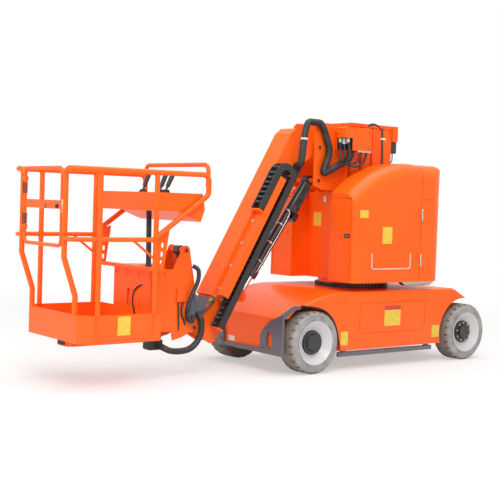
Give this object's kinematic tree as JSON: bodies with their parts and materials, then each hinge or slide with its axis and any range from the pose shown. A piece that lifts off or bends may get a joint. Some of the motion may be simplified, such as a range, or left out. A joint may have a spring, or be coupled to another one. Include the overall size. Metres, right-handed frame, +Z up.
{
  "type": "vertical mast lift",
  "caption": "Orange electric vertical mast lift: wheeled chassis, slewing turret with two rounded pods, telescoping mast, telescopic jib with drag chain, and a railed work basket.",
  "frame": {"origin": "centre of the bounding box on the ground, z = 0 where the tyres stand", "axes": "+X forward towards the basket, +Y the machine's left, +Z up"},
  "size_m": [4.048, 1.104, 1.997],
  "materials": {
    "orange_paint": "bright orange enamel",
    "orange_iron": "casting painted bright orange",
    "slate_paint": "slate blue-grey enamel",
    "rim_paint": "near-white enamel",
    "dark_steel": "black enamel",
    "chrome_rod": "hard chromed",
    "tyre_rubber": "pale grey non-marking rubber",
    "black_plastic": "black",
    "hose_rubber": "black hose"
  },
  "bodies": {
    "chassis": {"chassis_shell": "orange_paint", "front_frame": "slate_paint", "front_axle": "dark_steel", "rear_drives": "dark_steel", "slew_ring": "dark_steel", "pothole_guard_left": "slate_paint", "pothole_guard_right": "slate_paint"},
    "knuckle_left": {"knuckle_left": "dark_steel"},
    "knuckle_right": {"knuckle_right": "dark_steel"},
    "wheel_front_left": {"tyre_front_left": "tyre_rubber", "wheel_front_left": "rim_paint"},
    "wheel_front_right": {"tyre_front_right": "tyre_rubber", "wheel_front_right": "rim_paint"},
    "wheel_rear_left": {"tyre_rear_left": "tyre_rubber", "wheel_rear_left": "rim_paint"},
    "wheel_rear_right": {"tyre_rear_right": "tyre_rubber", "wheel_rear_right": "rim_paint"},
    "turret": {"turret_base": "orange_paint", "counterweight": "orange_iron", "battery_pack": "black_plastic", "power_unit": "black_plastic", "mast_section_1": "orange_paint", "mast_cover": "orange_paint"},
    "door_left": {"pod_door_left": "orange_paint"},
    "door_right": {"pod_door_right": "orange_paint"},
    "mast_2": {"mast_section_2": "orange_paint"},
    "mast_3": {"mast_section_3": "orange_paint"},
    "mast_4": {"mast_section_4": "orange_paint"},
    "carriage": {"carriage": "orange_paint", "junction_box": "orange_paint", "jib_hose": "hose_rubber"},
    "jib": {"jib_base": "orange_paint", "chain_tray": "orange_paint", "drag_chain": "black_plastic"},
    "fly": {"jib_fly": "orange_paint", "head_hose": "hose_rubber"},
    "lift_barrel": {"lift_barrel": "orange_paint"},
    "lift_rod": {"lift_rod": "chrome_rod"},
    "head": {"level_head": "orange_paint"},
    "level_barrel": {"level_barrel": "dark_steel"},
    "level_rod": {"level_rod": "chrome_rod"},
    "platform": {"basket_bracket": "orange_paint", "rotator_motor": "black_plastic", "basket_floor": "orange_paint", "basket_rails": "orange_paint", "back_panel": "orange_paint", "control_tray": "orange_paint", "joysticks": "black_plastic", "tray_conduit": "hose_rubber"},
    "gate": {"gate": "orange_paint"}
  },
  "joints": [
    {"name": "steer_left", "type": "hinge", "parent": "chassis", "child": "knuckle_left", "pos_m": [-0.052, 0.44, 0.241], "axis": [0, 0, 1], "range_deg": [-35, 35]},
    {"name": "steer_right", "type": "hinge", "parent": "chassis", "child": "knuckle_right", "pos_m": [-0.052, -0.44, 0.241], "axis": [0, 0, 1], "range_deg": [-35, 35]},
    {"name": "spin_front_left", "type": "hinge", "parent": "knuckle_left", "child": "wheel_front_left", "pos_m": [-0.052, 0.4625, 0.241], "axis": [0, 1, 0], "continuous": true},
    {"name": "spin_front_right", "type": "hinge", "parent": "knuckle_right", "child": "wheel_front_right", "pos_m": [-0.052, -0.4625, 0.241], "axis": [0, 1, 0], "continuous": true},
    {"name": "spin_rear_left", "type": "hinge", "parent": "chassis", "child": "wheel_rear_left", "pos_m": [-1.792, 0.4625, 0.241], "axis": [0, 1, 0], "continuous": true},
    {"name": "spin_rear_right", "type": "hinge", "parent": "chassis", "child": "wheel_rear_right", "pos_m": [-1.792, -0.4625, 0.241], "axis": [0, 1, 0], "continuous": true},
    {"name": "slew", "type": "hinge", "parent": "chassis", "child": "turret", "pos_m": [-0.922, 0, 0.654], "axis": [0, 0, 1], "range_deg": [-172.5, 172.5]},
    {"name": "door_left_swing", "type": "hinge", "parent": "turret", "child": "door_left", "pos_m": [-1.1935, 0.538, 0.82], "axis": [0, 0, 1], "range_deg": [0, 100]},
    {"name": "door_right_swing", "type": "hinge", "parent": "turret", "child": "door_right", "pos_m": [-1.1935, -0.538, 0.82], "axis": [0, 0, -1], "range_deg": [0, 100]},
    {"name": "mast_2_rise", "type": "slide", "parent": "turret", "child": "mast_2", "axis": [0, 0, 1], "range_m": [0, 0.98]},
    {"name": "mast_3_rise", "type": "slide", "parent": "mast_2", "child": "mast_3", "axis": [0, 0, 1], "range_m": [0, 0.98]},
    {"name": "mast_4_rise", "type": "slide", "parent": "mast_3", "child": "mast_4", "axis": [0, 0, 1], "range_m": [0, 0.98]},
    {"name": "carriage_rise", "type": "slide", "parent": "mast_4", "child": "carriage", "axis": [0, 0, 1], "range_m": [0, 0.98]},
    {"name": "jib_lift", "type": "hinge", "parent": "carriage", "child": "jib", "pos_m": [-0.382, 0, 1.765], "axis": [0, -1, 0], "range_deg": [0, 130], "deforming": ["jib_hose"]},
    {"name": "lift_barrel_swing", "type": "hinge", "parent": "carriage", "child": "lift_barrel", "pos_m": [-0.382, 0, 1.498], "axis": [0, -1, 0], "range_deg": [0, 126.9]},
    {"name": "lift_rod_push", "type": "slide", "parent": "lift_barrel", "child": "lift_rod", "axis": [0.5812, 0, -0.8137], "range_m": [0, 0.4783]},
    {"name": "jib_extend", "type": "slide", "parent": "jib", "child": "fly", "axis": [0.5, 0, -0.866], "range_m": [0, 0.6], "deforming": ["drag_chain"]},
    {"name": "head_level", "type": "hinge", "parent": "fly", "child": "head", "pos_m": [0.778, 0, 0.35], "axis": [0, -1, 0], "range_deg": [-130, 0], "deforming": ["head_hose"]},
    {"name": "level_barrel_swing", "type": "hinge", "parent": "head", "child": "level_barrel", "pos_m": [0.868, 0, 0.93], "axis": [0, -1, 0], "range_deg": [0, 9.1]},
    {"name": "level_rod_push", "type": "slide", "parent": "level_barrel", "child": "level_rod", "axis": [-0.3442, 0, -0.9389], "range_m": [0, 0.2554]},
    {"name": "basket_rotate", "type": "hinge", "parent": "head", "child": "platform", "pos_m": [1.075, 0, 0.56], "axis": [0, 0, 1], "range_deg": [-90, 90]},
    {"name": "gate_swing", "type": "hinge", "parent": "platform", "child": "gate", "pos_m": [1.995, -0.28, 1.23], "axis": [0, 0, 1], "range_deg": [0, 85]}
  ],
  "couplings": [
    {"joint": "steer_right", "follows": "steer_left", "ratio": 1},
    {"joint": "mast_3_rise", "follows": "mast_2_rise", "ratio": 1},
    {"joint": "mast_4_rise", "follows": "mast_2_rise", "ratio": 1},
    {"joint": "carriage_rise", "follows": "mast_2_rise", "ratio": 1},
    {"joint": "lift_barrel_swing", "follows": "jib_lift", "ratio": 0.97607},
    {"joint": "lift_rod_push", "follows": "jib_lift", "m_per_rad": 0.21077},
    {"joint": "head_level", "follows": "jib_lift", "ratio": -1},
    {"joint": "level_barrel_swing", "follows": "jib_lift", "ratio": 0.069564},
    {"joint": "level_rod_push", "follows": "jib_lift", "m_per_rad": 0.11251}
  ]
}
